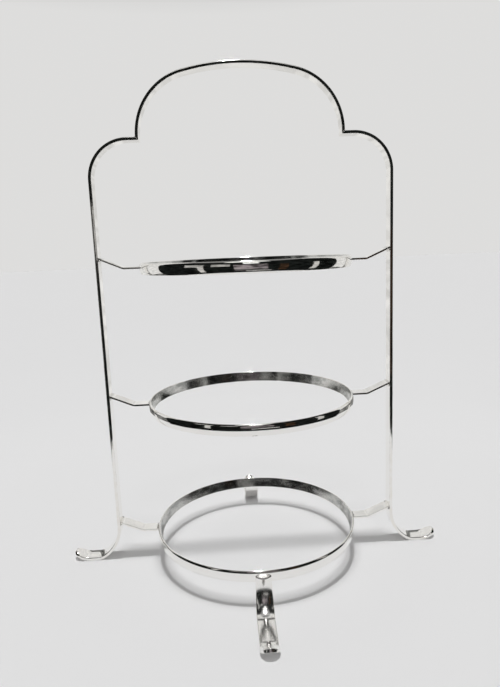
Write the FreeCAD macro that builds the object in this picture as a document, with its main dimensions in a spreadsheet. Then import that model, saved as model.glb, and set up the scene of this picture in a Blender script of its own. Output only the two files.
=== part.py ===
import FreeCAD, Part
import math
import os

import Sketcher

# Three-tier cake stand in silver-plated nickel silver: a tall frame of D-section strip in the plane
# y = 0, three plate rings on bent straps, and two short legs under the bottom ring.
# X runs to the stand's right, Y to its rear, Z up. The origin is on the floor under its centre.

DIMENSIONS = [
    # alias, millimetres (or degrees), meaning
    ("ring_radius", 95, "plate ring, outside radius"),
    ("ring_wall", 1.5, "plate ring, wall"),
    ("ring_rise", 5.3, "plate ring, straight wall above the lip"),
    ("lip_radius", 4.5, "plate ring, outside radius of the inward lip"),
    ("rim_round", 0.6, "plate ring, rounding of the rim"),
    ("top_rim", 282, "height of the top ring's rim"),
    ("middle_rim", 156, "height of the middle ring's rim"),
    ("bottom_rim", 31.5, "height of the bottom ring's rim"),
    ("strip_width", 13, "frame strip, width at the uprights and the arch"),
    ("toe_width", 14.8, "frame strip, width at the toes"),
    ("strip_thickness", 3.2, "frame strip, thickness at the middle of its crown"),
    ("crown_radius", 23.4, "frame strip, radius of the crowned outer face"),
    ("flare_bottom", 14, "height where the toe's full width ends"),
    ("flare_top", 60, "height where the strip reaches its own width"),
    ("upright_inside", 130.7, "uprights, centre line to inner face"),
    ("shoulder_radius", 32, "shoulder, radius of the inner face"),
    ("shoulder_height", 386, "shoulder, height of the inner face"),
    ("cusp_inside", 88, "cusp, centre line to the arch's inner face"),
    ("crown_arc_radius", 200, "arch, radius of the inner face over the hand"),
    ("haunch_radius", 52, "arch, radius of the inner face at the haunches"),
    ("arch_height", 445.5, "arch, height of the inner face at the top"),
    ("foot_radius", 35, "side foot, radius below the upright"),
    ("heel_radius", 15.5, "side foot, radius at the heel"),
    ("heel_reach", 155, "side foot, centre line to the start of the flat"),
    ("sole_reach", 161.5, "side foot, centre line to the end of the flat"),
    ("toe_radius", 22, "side foot, radius of the upturned toe"),
    ("toe_rise", 7, "side foot, height of the toe's tip"),
    ("leg_inside", 94.7, "legs, centre line to the flat face before it is fitted to the ring"),
    ("leg_top", 31, "legs, height of the top end"),
    ("leg_top_crown", 3.4, "legs, drop of the rounded top end at its corners"),
    ("leg_flare_bottom", 4, "legs, height where the toe's full width ends"),
    ("leg_flare_top", 28, "legs, height where the strip reaches its own width"),
    ("leg_foot_radius", 30, "legs, radius below the ring"),
    ("leg_heel_radius", 20, "legs, radius at the heel"),
    ("leg_heel_reach", 116.7, "legs, centre line to the start of the flat"),
    ("leg_sole_reach", 138.4, "legs, centre line to the end of the flat"),
    ("leg_toe_radius", 28, "legs, radius of the upturned toe"),
    ("leg_toe_rise", 7.5, "legs, height of the toe's tip"),
    ("arm_width", 12.6, "arm strap, width"),
    ("arm_thickness", 1.8, "arm strap, thickness"),
    ("arm_drop", 5.2, "arm strap, underside at the ring below the rim"),
    ("arm_climb", 9.2, "arm strap, rise from the ring to the upright"),
    ("arm_level_end", 109.5, "arm strap, centre line to the bend"),
    ("arm_bend_radius", 9, "arm strap, outside radius of the bend"),
    ("solder_leg", 1.6, "solder fillets, length on each face"),
    ("cusp_solder", 0.8, "cusp solder, length on each face"),
    ("leg_solder_sweep", 58, "leg solder, degrees of the lip's curve that it fills"),
    ("overlap", 1, "how far a piece runs past a face before it is cut to fit"),
]
TOUCHING = 1e-4  # millimetres; places closer than this are one place

doc = FreeCAD.newDocument("TieredCakeStand")
sheet = doc.addObject("Spreadsheet::Sheet", "Dimensions")
for row, (alias, number, meaning) in enumerate(DIMENSIONS, 1):
    sheet.set(f"A{row}", meaning)
    sheet.set(f"B{row}", str(number))
    sheet.setAlias(f"B{row}", alias)
doc.recompute()


def dim(alias):
    """The number that the sheet holds under an alias."""
    return float(sheet.get(alias))


def flat(x, y):
    """A point in a sketch."""
    return FreeCAD.Vector(x, y, 0)


# ---------------------------------------------------------------- sketch helpers

def new_body(name):
    """An empty body whose label is the node's name."""
    body = doc.addObject("PartDesign::Body", name)
    body.Label = name
    return body


def new_sketch(body, name, plane, lift=None):
    """A sketch on one of the body's origin planes; lift is an expression that offsets it."""
    sketch = body.newObject("Sketcher::SketchObject", name)
    face = next(item for item in body.Origin.OriginFeatures if item.Role == plane)
    sketch.AttachmentSupport = [(face, "")]
    sketch.MapMode = "FlatFace"
    if lift:
        sketch.setExpression("AttachmentOffset.Base.z", lift)
    return sketch


def drive(sketch, kind, places, start_value, expression):
    """Add a dimension to a sketch and bind it to the sheet."""
    index = sketch.addConstraint(Sketcher.Constraint(kind, *places, start_value))
    sketch.setExpression(f"Constraints[{index}]", expression)


def pin_point(sketch, edge, end, x_rule, y_rule):
    """Place one end of an edge by two signed distances from the sketch's origin."""
    point = sketch.getPoint(edge, end)
    if x_rule:
        drive(sketch, "DistanceX", (-1, 1, edge, end), point.x, x_rule)
    if y_rule:
        drive(sketch, "DistanceY", (-1, 1, edge, end), point.y, y_rule)


def closed_outline(sketch, corners, rules):
    """Add a closed polygon; each corner has a pair of expressions, and None leaves one as drawn."""
    start, count = sketch.GeometryCount, len(corners)
    for index, corner in enumerate(corners):
        following = corners[(index + 1) % count]
        sketch.addGeometry(Part.LineSegment(flat(*corner), flat(*following)))
    for index in range(count):
        following = start + (index + 1) % count
        sketch.addConstraint(Sketcher.Constraint("Coincident", start + index, 2, following, 1))
    for index, (x_rule, y_rule) in enumerate(rules):
        pin_point(sketch, start + index, 1, x_rule, y_rule)


def pocket_through(body, sketch, name):
    """Cut a sketch right through the body in both directions, and check that it took metal away."""
    doc.recompute()
    before = body.Shape.Volume
    pocket = body.newObject("PartDesign::Pocket", name)
    pocket.Profile = sketch
    pocket.Type = "ThroughAll"
    pocket.SideType = "Symmetric"
    doc.recompute()
    if body.Shape.Volume >= before:
        raise RuntimeError(f"{name} cuts nothing")
    return pocket


def mirrored(source, name, normal):
    """The mirror image of a piece in a plane through the origin."""
    twin = doc.addObject("Part::Mirroring", name)
    twin.Label = name
    twin.Source = source
    twin.Normal = FreeCAD.Vector(*normal)
    return twin


# ---------------------------------------------------------------- strip, path and foot

def strip_section(sketch, base, across_first, width_alias):
    """The strip's D section: a flat inner face, two edges and a crowned outer face.

    base is the expression for the flat face's distance from the origin. It is measured along the
    sketch's first axis if across_first is false, and along the second if it is true; the crown faces
    outwards. A base that starts with a minus sign turns the section round.
    """
    sign = -1 if base.startswith("-") else 1
    start = sign * dim(base.lstrip("-").split(".")[1])
    half = dim(width_alias) / 2
    crown = dim("strip_thickness")
    radius = dim("crown_radius")
    edge = crown - radius + math.sqrt(radius ** 2 - half ** 2)

    def place(depth, side):
        return flat(side, start + sign * depth) if across_first else flat(start + sign * depth, side)

    sketch.addGeometry(Part.LineSegment(place(0, -half), place(0, half)))
    sketch.addGeometry(Part.LineSegment(place(0, half), place(edge, half)))
    sketch.addGeometry(Part.Arc(place(edge, half), place(crown, 0), place(edge, -half)))
    sketch.addGeometry(Part.LineSegment(place(edge, -half), place(0, -half)))
    arc_ends = [sketch.getPoint(2, end) for end in (1, 2)]
    starts_high = (arc_ends[0] - place(edge, half)).Length < (arc_ends[1] - place(edge, half)).Length
    near, far = (1, 2) if starts_high else (2, 1)
    for first, first_end, second, second_end in ((0, 2, 1, 1), (1, 2, 2, near), (2, far, 3, 1), (3, 2, 0, 1)):
        sketch.addConstraint(Sketcher.Constraint("Coincident", first, first_end, second, second_end))
    along, across = ("DistanceY", "DistanceX") if across_first else ("DistanceX", "DistanceY")
    drive(sketch, along, (-1, 1, 0, 1), start, base)
    drive(sketch, along, (-1, 1, 0, 2), start, base)
    drive(sketch, across, (-1, 1, 0, 1), -half, f"-Dimensions.{width_alias} / 2")
    drive(sketch, across, (-1, 1, 0, 2), half, f"Dimensions.{width_alias} / 2")
    drive(sketch, across, (-1, 1, 1, 2), half, f"Dimensions.{width_alias} / 2")
    drive(sketch, across, (-1, 1, 2, far), -half, f"-Dimensions.{width_alias} / 2")
    drive(sketch, "Radius", (2,), radius, "Dimensions.crown_radius")
    centre = start + sign * (crown - radius)
    turned = "-" if sign < 0 else ""
    rule = f"{base} + {turned}1 * (Dimensions.strip_thickness - Dimensions.crown_radius)"
    drive(sketch, along, (-1, 1, 2, 3), centre, rule)


def smooth_path(sketch, pieces):
    """Lines and arcs drawn end to end, each tangent to the next. Gives their (start, end) places."""
    ends = []
    for index, (piece, first, last) in enumerate(pieces):
        sketch.addGeometry(piece)
        order = (1, 2)
        if (sketch.getPoint(index, 1) - first).Length > (sketch.getPoint(index, 2) - first).Length:
            order = (2, 1)
        ends.append(order)
    for index in range(len(pieces) - 1):
        joint = (index, ends[index][1], index + 1, ends[index + 1][0])
        sketch.addConstraint(Sketcher.Constraint("Tangent", *joint))
    return ends


def line(first, last):
    return Part.LineSegment(first, last), first, last


def arc(centre, radius, from_degrees, to_degrees):
    """An arc from one angle to another, either way round."""
    def at(degrees):
        turn = math.radians(degrees)
        return centre + flat(radius * math.cos(turn), radius * math.sin(turn))

    first, last = at(from_degrees), at(to_degrees)
    return Part.Arc(first, at((from_degrees + to_degrees) / 2), last), first, last


# The sheet's aliases for one foot: its two bends, the two ends of its flat sole, and its toe.
SIDE_FOOT = {"inside": "upright_inside", "upper": "foot_radius", "lower": "heel_radius",
             "heel": "heel_reach", "sole": "sole_reach", "toe": "toe_radius", "rise": "toe_rise"}
LEG_FOOT = {"inside": "leg_inside", "upper": "leg_foot_radius", "lower": "leg_heel_radius",
            "heel": "leg_heel_reach", "sole": "leg_sole_reach", "toe": "leg_toe_radius", "rise": "leg_toe_rise"}


def foot_pieces(names, sign):
    """The foot's curve, from the bottom of the straight strip out to the tip of the upturned toe.

    The two bends turn a quarter between them, and the foot's reach fixes each one's share. Gives the
    height where the bends start, and the pieces. sign is -1 for a foot that runs towards -X or -Y.
    """
    upper, lower, toe = dim(names["upper"]), dim(names["lower"]), dim(names["toe"])
    inside, heel, sole = dim(names["inside"]), dim(names["heel"]), dim(names["sole"])
    turn = math.acos((upper - (heel - inside)) / (upper - lower))
    ankle = upper * math.sin(turn) + lower * (1 - math.sin(turn))
    upper_turn = math.degrees(turn)
    toe_turn = math.degrees(math.acos(1 - dim(names["rise"]) / toe))

    def bend(x, y, radius, start, end):
        if sign < 0:
            start, end = 180 - start, 180 - end
        return arc(flat(sign * x, y), radius, start, end)

    return ankle, [
        bend(inside + upper, ankle, upper, 180, 180 + upper_turn),
        bend(heel, lower, lower, 180 + upper_turn, 270),
        line(flat(sign * heel, 0), flat(sign * sole, 0)),
        bend(sole, toe, toe, 270, 270 + toe_turn),
    ]


def bind_foot(sketch, names, first, ends, sign):
    """Bind the foot's four edges, the first of them at index first, to the sheet."""
    turned = "-" if sign < 0 else ""
    upper, lower, sole, toe = range(first, first + 4)
    for edge, name in ((upper, "upper"), (lower, "lower"), (toe, "toe")):
        drive(sketch, "Radius", (edge,), dim(names[name]), f"Dimensions.{names[name]}")
    for end, name in zip(ends[sole], ("heel", "sole")):
        sketch.addConstraint(Sketcher.Constraint("PointOnObject", sole, end, -1))
        pin_point(sketch, sole, end, f"{turned}Dimensions.{names[name]}", None)
    pin_point(sketch, toe, ends[toe][1], None, f"Dimensions.{names['rise']}")


def sweep(body, profile, path, name):
    """Run a profile along a path that lies in one plane."""
    doc.recompute()
    pipe = body.newObject("PartDesign::AdditivePipe", name)
    pipe.Profile = profile
    pipe.Spine = (path, [])
    pipe.Mode = "Standard"
    doc.recompute()
    return pipe


def trim_flanks(body, plane_of_width, low_alias, high_alias, name):
    """Narrow the strip from the toe's width to its own width above the foot, on both edges."""
    sketch = new_sketch(body, name + "_outline", plane_of_width)
    top = dim("shoulder_height") + dim("toe_width")
    spare = dim("toe_width")
    low, high = dim(low_alias), dim(high_alias)
    for sign, turned in ((1, ""), (-1, "-")):
        half, toe_half = sign * dim("strip_width") / 2, sign * dim("toe_width") / 2
        closed_outline(
            sketch,
            [(half, top), (half, high), (toe_half, low), (sign * spare, low), (sign * spare, top)],
            [(f"{turned}Dimensions.strip_width / 2", None),
             (f"{turned}Dimensions.strip_width / 2", f"Dimensions.{high_alias}"),
             (f"{turned}Dimensions.toe_width / 2", f"Dimensions.{low_alias}"),
             (None, None), (None, None)])
    return pocket_through(body, sketch, name)


def round_end(body, name, plane, tip, drop, place):
    """Round a strip's end: cut what lies beyond an arc through the tip.

    drop is how far the arc falls back from the tip at the strip's edges. place turns a distance out
    from the centre and a distance to the side into a point of the sketch.
    """
    sketch = new_sketch(body, name + "_outline", plane)
    half, beside = dim("toe_width") / 2, dim("toe_width")
    back, beyond = tip - drop, tip + dim("strip_thickness")
    corners = [(back, half), (back, beside), (beyond, beside),
               (beyond, -beside), (back, -beside), (back, -half)]
    for first, last in zip(corners, corners[1:]):
        sketch.addGeometry(Part.LineSegment(place(*first), place(*last)))
    sketch.addGeometry(Part.Arc(place(*corners[-1]), place(tip, 0), place(*corners[0])))
    return pocket_through(body, sketch, name)


# ---------------------------------------------------------------- frame

def make_upright(name):
    """Right-hand upright: from the cusp over the shoulder, down and out to the curled toe."""
    body = new_body(name)
    inside, height = dim("upright_inside"), dim("shoulder_height")
    bend, cusp = dim("shoulder_radius"), dim("cusp_inside")
    ankle, foot = foot_pieces(SIDE_FOOT, 1)
    path = new_sketch(body, name + "_path", "XZ_Plane")
    shoulder = flat(inside - bend, height - bend)
    pieces = [
        line(flat(cusp, height), flat(inside - bend, height)),
        arc(shoulder, bend, 90, 0),
        line(flat(inside, height - bend), flat(inside, ankle)),
    ]
    ends = smooth_path(path, pieces + foot)
    pin_point(path, 0, ends[0][0], "Dimensions.cusp_inside", "Dimensions.shoulder_height")
    pin_point(path, 0, ends[0][1], None, "Dimensions.shoulder_height")
    drive(path, "Radius", (1,), bend, "Dimensions.shoulder_radius")
    pin_point(path, 2, ends[2][0], "Dimensions.upright_inside", None)
    pin_point(path, 2, ends[2][1], "Dimensions.upright_inside", None)
    bind_foot(path, SIDE_FOOT, 3, ends, 1)

    section = new_sketch(body, name + "_section", "YZ_Plane", "Dimensions.cusp_inside")
    strip_section(section, "Dimensions.shoulder_height", True, "toe_width")
    sweep(body, section, path, name + "_strip")
    trim_flanks(body, "YZ_Plane", "flare_bottom", "flare_top", name + "_taper")
    tip = foot[-1][2].x
    round_end(body, name + "_toe", "XY_Plane", tip, dim("toe_width") / 2, lambda out, side: flat(out, side))
    mitre(body, name + "_mitre", "upright")
    return body


def mitre(body, name, side):
    """Cut the right-hand cusp end at 45 degrees, keeping the upright's side or the arch's side."""
    sketch = new_sketch(body, name + "_outline", "XZ_Plane")
    x, z, overlap, spare = dim("cusp_inside"), dim("shoulder_height"), dim("overlap"), 2 * dim("strip_thickness")
    x_name, z_name = "Dimensions.cusp_inside", "Dimensions.shoulder_height"
    overlap_rule, spare_rule = "Dimensions.overlap", "2 * Dimensions.strip_thickness"
    low, high = (x - overlap, z - overlap), (x + spare, z + spare)
    low_rule = (f"{x_name} - {overlap_rule}", f"{z_name} - {overlap_rule}")
    high_rule = (f"{x_name} + {spare_rule}", f"{z_name} + {spare_rule}")
    if side == "upright":
        third, third_rule = (low[0], high[1]), (low_rule[0], high_rule[1])
    else:
        third, third_rule = (high[0], low[1]), (high_rule[0], low_rule[1])
    closed_outline(sketch, [low, high, third], [low_rule, high_rule, third_rule])
    return pocket_through(body, sketch, name)


def make_arch(name):
    """The handle: two short springings, two haunches and a flat crown, mitred at both cusps."""
    body = new_body(name)
    cusp, spring_z, top = dim("cusp_inside"), dim("shoulder_height"), dim("arch_height")
    haunch, crown = dim("haunch_radius"), dim("crown_arc_radius")
    # The haunch circle touches the vertical at the cusp's x and lies inside the crown circle.
    haunch_x = cusp - haunch
    lean = math.degrees(math.asin(haunch_x / (crown - haunch)))
    haunch_z = top - crown + (crown - haunch) * math.cos(math.radians(lean))
    centre = flat(0, top - crown)
    path = new_sketch(body, name + "_path", "XZ_Plane")
    pieces = [
        line(flat(cusp, spring_z), flat(cusp, haunch_z)),
        arc(flat(haunch_x, haunch_z), haunch, 0, 90 - lean),
        arc(centre, crown, 90 - lean, 90 + lean),
        arc(flat(-haunch_x, haunch_z), haunch, 90 + lean, 180),
        line(flat(-cusp, haunch_z), flat(-cusp, spring_z)),
    ]
    ends = smooth_path(path, pieces)
    pin_point(path, 0, ends[0][0], "Dimensions.cusp_inside", "Dimensions.shoulder_height")
    pin_point(path, 0, ends[0][1], "Dimensions.cusp_inside", None)
    pin_point(path, 4, ends[4][0], "-Dimensions.cusp_inside", None)
    pin_point(path, 4, ends[4][1], "-Dimensions.cusp_inside", "Dimensions.shoulder_height")
    for edge, alias in ((1, "haunch_radius"), (2, "crown_arc_radius"), (3, "haunch_radius")):
        drive(path, "Radius", (edge,), dim(alias), f"Dimensions.{alias}")
    drive(path, "DistanceY", (-1, 1, 2, 3), top - crown,
          "Dimensions.arch_height - Dimensions.crown_arc_radius")

    section = new_sketch(body, name + "_section", "XY_Plane", "Dimensions.shoulder_height")
    strip_section(section, "Dimensions.cusp_inside", False, "strip_width")
    sweep(body, section, path, name + "_strip")
    mitre(body, name + "_right_mitre", "arch")
    before = body.Shape.Volume
    twin = body.newObject("PartDesign::Mirrored", name + "_left_mitre")
    twin.Originals = [body.Tip]
    twin.MirrorPlane = (next(f for f in body.Origin.OriginFeatures if f.Role == "YZ_Plane"), [""])
    body.Tip = twin
    doc.recompute()
    if body.Shape.Volume >= before:
        raise RuntimeError("the left mitre cuts nothing")
    return body


# ---------------------------------------------------------------- rings, arms and legs

def make_ring(name, rim_alias):
    """Plate ring: a straight wall over a quarter-round lip that turns in under the plate's edge."""
    body = new_body(name)
    outer, wall = dim("ring_radius"), dim("ring_wall")
    rise, lip = dim("ring_rise"), dim("lip_radius")
    sketch = new_sketch(body, name + "_section", "XZ_Plane")
    bend = flat(outer - lip, -rise)
    inner_lip = lip - wall
    sketch.addGeometry(Part.LineSegment(flat(outer - wall, 0), flat(outer, 0)))
    sketch.addGeometry(Part.LineSegment(flat(outer, 0), flat(outer, -rise)))
    sketch.addGeometry(arc(bend, lip, 0, -90)[0])
    sketch.addGeometry(Part.LineSegment(flat(outer - lip, -rise - lip), flat(outer - lip, -rise - inner_lip)))
    sketch.addGeometry(arc(bend, inner_lip, -90, 0)[0])
    sketch.addGeometry(Part.LineSegment(flat(outer - wall, -rise), flat(outer - wall, 0)))

    def end_near(edge, point):
        return 1 if (sketch.getPoint(edge, 1) - point).Length < (sketch.getPoint(edge, 2) - point).Length else 2

    corners = [sketch.getPoint(edge, 2) for edge in (0, 1)]
    corners += [flat(outer - lip, -rise - lip), sketch.getPoint(3, 2)]
    corners += [flat(outer - wall, -rise), flat(outer - wall, 0)]
    for edge, corner in enumerate(corners):
        following = (edge + 1) % len(corners)
        places = (edge, end_near(edge, corner), following, end_near(following, corner))
        sketch.addConstraint(Sketcher.Constraint("Coincident", *places))
    radius, thickness = "Dimensions.ring_radius", "Dimensions.ring_wall"
    pin_point(sketch, 0, 1, f"{radius} - {thickness}", "0 mm")
    pin_point(sketch, 0, 2, radius, "0 mm")
    pin_point(sketch, 1, 2, radius, "-Dimensions.ring_rise")
    pin_point(sketch, 5, 1, f"{radius} - {thickness}", "-Dimensions.ring_rise")
    pin_point(sketch, 2, 3, f"{radius} - Dimensions.lip_radius", "-Dimensions.ring_rise")
    pin_point(sketch, 4, 3, f"{radius} - Dimensions.lip_radius", "-Dimensions.ring_rise")
    pin_point(sketch, 3, 1, f"{radius} - Dimensions.lip_radius", None)
    pin_point(sketch, 3, 2, f"{radius} - Dimensions.lip_radius", None)
    doc.recompute()

    turned = body.newObject("PartDesign::Revolution", name + "_roll")
    turned.Profile = sketch
    turned.ReferenceAxis = (sketch, ["V_Axis"])
    turned.Angle = 360
    doc.recompute()

    rim = [f"Edge{number}" for number, edge in enumerate(turned.Shape.Edges, 1)
           if max(abs(edge.BoundBox.ZMin), abs(edge.BoundBox.ZMax)) < TOUCHING]
    rounded = body.newObject("PartDesign::Fillet", name + "_rim")
    rounded.Base = (turned, rim)
    rounded.setExpression("Radius", "Dimensions.rim_round")
    body.setExpression("Placement.Base.z", f"Dimensions.{rim_alias}")
    doc.recompute()
    return body


def strap_line():
    """The arm strap's underside, in the ring's own height: (x, z) at the ring, bend and upright."""
    return [(dim("ring_radius") - dim("overlap"), -dim("arm_drop")),
            (dim("arm_level_end"), -dim("arm_drop")),
            (dim("upright_inside"), dim("arm_climb") - dim("arm_drop"))]


def arm_slope():
    """The sloping part's angle above the level, in radians."""
    (_, low_z), (bend_x, _), (end_x, high_z) = strap_line()
    return math.atan2(high_z - low_z, end_x - bend_x)


def make_arm(name, rim_alias):
    """Right-hand arm: a strap that leaves the ring level, bends and climbs to the upright."""
    body = new_body(name)
    (start_x, low_z), (bend_x, _), (end_x, high_z) = strap_line()
    thick, slope = dim("arm_thickness"), arm_slope()
    rise = thick / math.cos(slope)
    shift = thick * math.tan(slope / 2)
    corners = [(start_x, low_z), (bend_x, low_z), (end_x, high_z),
               (end_x, high_z + rise), (bend_x - shift, low_z + thick), (start_x, low_z + thick)]
    start = "Dimensions.ring_radius - Dimensions.overlap"
    bend, end = "Dimensions.arm_level_end", "Dimensions.upright_inside"
    low, high = "-Dimensions.arm_drop", "Dimensions.arm_climb - Dimensions.arm_drop"
    thickness = "Dimensions.arm_thickness"
    angle = f"atan(Dimensions.arm_climb / ({end} - {bend}))"
    rules = [(start, low), (bend, low), (end, high),
             (end, f"{high} + {thickness} / cos({angle})"),
             (f"{bend} - {thickness} * tan({angle} / 2)", f"{low} + {thickness}"),
             (start, f"{low} + {thickness}")]
    outline = new_sketch(body, name + "_outline", "XZ_Plane")
    closed_outline(outline, corners, rules)
    strap = body.newObject("PartDesign::Pad", name + "_strap")
    strap.Profile = outline
    strap.SideType = "Symmetric"
    strap.setExpression("Length", "Dimensions.arm_width")
    doc.recompute()

    def bend_edge(feature, z):
        return next(f"Edge{number}" for number, edge in enumerate(feature.Shape.Edges, 1)
                    if abs(edge.BoundBox.XMax - edge.BoundBox.XMin) < TOUCHING
                    and abs(edge.BoundBox.ZMax - z) < TOUCHING
                    and start_x + TOUCHING < edge.BoundBox.XMin < end_x - TOUCHING)

    outside = body.newObject("PartDesign::Fillet", name + "_bend_outside")
    outside.Base = (strap, [bend_edge(strap, low_z)])
    outside.setExpression("Radius", "Dimensions.arm_bend_radius")
    doc.recompute()
    inside = body.newObject("PartDesign::Fillet", name + "_bend_inside")
    inside.Base = (outside, [bend_edge(outside, low_z + thick)])
    inside.setExpression("Radius", "Dimensions.arm_bend_radius - Dimensions.arm_thickness")
    doc.recompute()
    fit_to_ring(body, name + "_seat")
    body.setExpression("Placement.Base.z", f"Dimensions.{rim_alias}")
    doc.recompute()
    return body


def fit_to_ring(body, name):
    """Cut away whatever reaches inside the ring's outer face, so that the piece sits against it."""
    sketch = new_sketch(body, name + "_outline", "XY_Plane")
    sketch.addGeometry(Part.Circle(flat(0, 0), FreeCAD.Vector(0, 0, 1), dim("ring_radius")))
    sketch.addConstraint(Sketcher.Constraint("Coincident", 0, 3, -1, 1))
    drive(sketch, "Radius", (0,), dim("ring_radius"), "Dimensions.ring_radius")
    return pocket_through(body, sketch, name)


def make_leg(name):
    """Front leg: a strip on the bottom ring's wall that runs down and forward to a curled toe."""
    body = new_body(name)
    inside, top = dim("leg_inside"), dim("leg_top")
    ankle, foot = foot_pieces(LEG_FOOT, -1)
    path = new_sketch(body, name + "_path", "YZ_Plane")
    ends = smooth_path(path, [line(flat(-inside, top), flat(-inside, ankle))] + foot)
    pin_point(path, 0, ends[0][0], "-Dimensions.leg_inside", "Dimensions.leg_top")
    pin_point(path, 0, ends[0][1], "-Dimensions.leg_inside", None)
    bind_foot(path, LEG_FOOT, 1, ends, -1)

    section = new_sketch(body, name + "_section", "XY_Plane", "Dimensions.leg_top")
    strip_section(section, "-Dimensions.leg_inside", True, "toe_width")
    sweep(body, section, path, name + "_strip")
    trim_flanks(body, "XZ_Plane", "leg_flare_bottom", "leg_flare_top", name + "_taper")
    tip = -foot[-1][2].x
    round_end(body, name + "_toe", "XY_Plane", tip, dim("toe_width") / 2, lambda out, side: flat(side, -out))
    round_end(body, name + "_top", "XZ_Plane", top, dim("leg_top_crown"), lambda out, side: flat(side, out))
    fit_to_ring(body, name + "_seat")

    bevel = new_sketch(body, name + "_bevel_outline", "YZ_Plane")
    spare, above = 2 * dim("strip_thickness"), top + dim("overlap")
    rear, front = -inside, -inside - spare
    closed_outline(bevel, [(rear, top), (front, top - spare), (front, above), (rear, above)],
                   [("-Dimensions.leg_inside", "Dimensions.leg_top"),
                    ("-Dimensions.leg_inside - 2 * Dimensions.strip_thickness",
                     "Dimensions.leg_top - 2 * Dimensions.strip_thickness"),
                    (None, None), (None, None)])
    pocket_through(body, bevel, name + "_bevel")
    return body


# ---------------------------------------------------------------- solder

def make_upright_fillet(name, rim_alias):
    """Solder in the corner under a right-hand arm, against the upright's inner face."""
    body = new_body(name)
    _, _, (corner_x, corner_z) = strap_line()
    leg, slope = dim("solder_leg"), arm_slope()
    outline = new_sketch(body, name + "_outline", "XZ_Plane")
    corners = [(corner_x, corner_z), (corner_x, corner_z - 2 * leg),
               (corner_x - 2 * leg * math.cos(slope), corner_z - 2 * leg * math.sin(slope))]
    leg_rule = "2 * Dimensions.solder_leg"
    angle = "atan(Dimensions.arm_climb / (Dimensions.upright_inside - Dimensions.arm_level_end))"
    x_rule, z_rule = "Dimensions.upright_inside", "Dimensions.arm_climb - Dimensions.arm_drop"
    closed_outline(outline, corners,
                   [(x_rule, z_rule), (x_rule, f"{z_rule} - {leg_rule}"),
                    (f"{x_rule} - {leg_rule} * cos({angle})", f"{z_rule} - {leg_rule} * sin({angle})")])
    pad_fillet(body, outline, name, rim_alias)
    return body


def make_ring_fillet(name, rim_alias):
    """Solder on top of a right-hand arm where it meets the ring's wall."""
    body = new_body(name)
    (start_x, low_z), _, _ = strap_line()
    leg, base = dim("solder_leg"), low_z + dim("arm_thickness")
    outer = dim("ring_radius")
    outline = new_sketch(body, name + "_outline", "XZ_Plane")
    corners = [(start_x, base), (outer + leg, base), (outer, base + leg), (start_x, base + leg)]
    start, reach = "Dimensions.ring_radius - Dimensions.overlap", "Dimensions.ring_radius"
    leg_rule = "Dimensions.solder_leg"
    base_rule = "Dimensions.arm_thickness - Dimensions.arm_drop"
    closed_outline(outline, corners,
                   [(start, base_rule), (f"{reach} + {leg_rule}", base_rule),
                    (reach, f"{base_rule} + {leg_rule}"), (start, f"{base_rule} + {leg_rule}")])
    pad_fillet(body, outline, name, rim_alias)
    fit_to_ring(body, name + "_seat")
    return body


def pad_fillet(body, outline, name, rim_alias):
    """Run a fillet's outline across the strap's width and set it at its ring's height."""
    run = body.newObject("PartDesign::Pad", name + "_run")
    run.Profile = outline
    run.SideType = "Symmetric"
    run.setExpression("Length", "Dimensions.arm_width")
    body.setExpression("Placement.Base.z", f"Dimensions.{rim_alias}")
    doc.recompute()


def make_leg_fillet(name):
    """Solder behind the front leg, in the gap that opens under the ring's straight wall."""
    body = new_body(name)
    outer, lip, rise = dim("ring_radius"), dim("lip_radius"), dim("ring_rise")
    sketch = new_sketch(body, name + "_outline", "XZ_Plane")
    low = arc(flat(outer - lip, -rise), lip, 0, -dim("leg_solder_sweep"))
    sketch.addGeometry(low[0])
    sketch.addGeometry(Part.LineSegment(low[2], flat(outer, low[2].y)))
    sketch.addGeometry(Part.LineSegment(flat(outer, low[2].y), low[1]))
    top_end = 1 if (sketch.getPoint(0, 1) - low[1]).Length < TOUCHING else 2
    sketch.addConstraint(Sketcher.Constraint("Coincident", 0, 3 - top_end, 1, 1))
    sketch.addConstraint(Sketcher.Constraint("Coincident", 1, 2, 2, 1))
    sketch.addConstraint(Sketcher.Constraint("Coincident", 2, 2, 0, top_end))
    sketch.addConstraint(Sketcher.Constraint("Horizontal", 1))
    sketch.addConstraint(Sketcher.Constraint("Vertical", 2))
    pin_point(sketch, 0, 3, "Dimensions.ring_radius - Dimensions.lip_radius", "-Dimensions.ring_rise")
    pin_point(sketch, 0, top_end, "Dimensions.ring_radius", "-Dimensions.ring_rise")
    doc.recompute()
    turned = body.newObject("PartDesign::Revolution", name + "_run")
    turned.Profile = sketch
    turned.ReferenceAxis = (sketch, ["V_Axis"])
    turned.Midplane = True
    turned.Angle = 2 * math.degrees(math.asin(dim("strip_width") / 2 / outer))
    body.Placement = FreeCAD.Placement(FreeCAD.Vector(0, 0, 0), FreeCAD.Rotation(FreeCAD.Vector(0, 0, 1), -90))
    body.setExpression("Placement.Base.z", "Dimensions.bottom_rim")
    doc.recompute()
    return body


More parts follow.
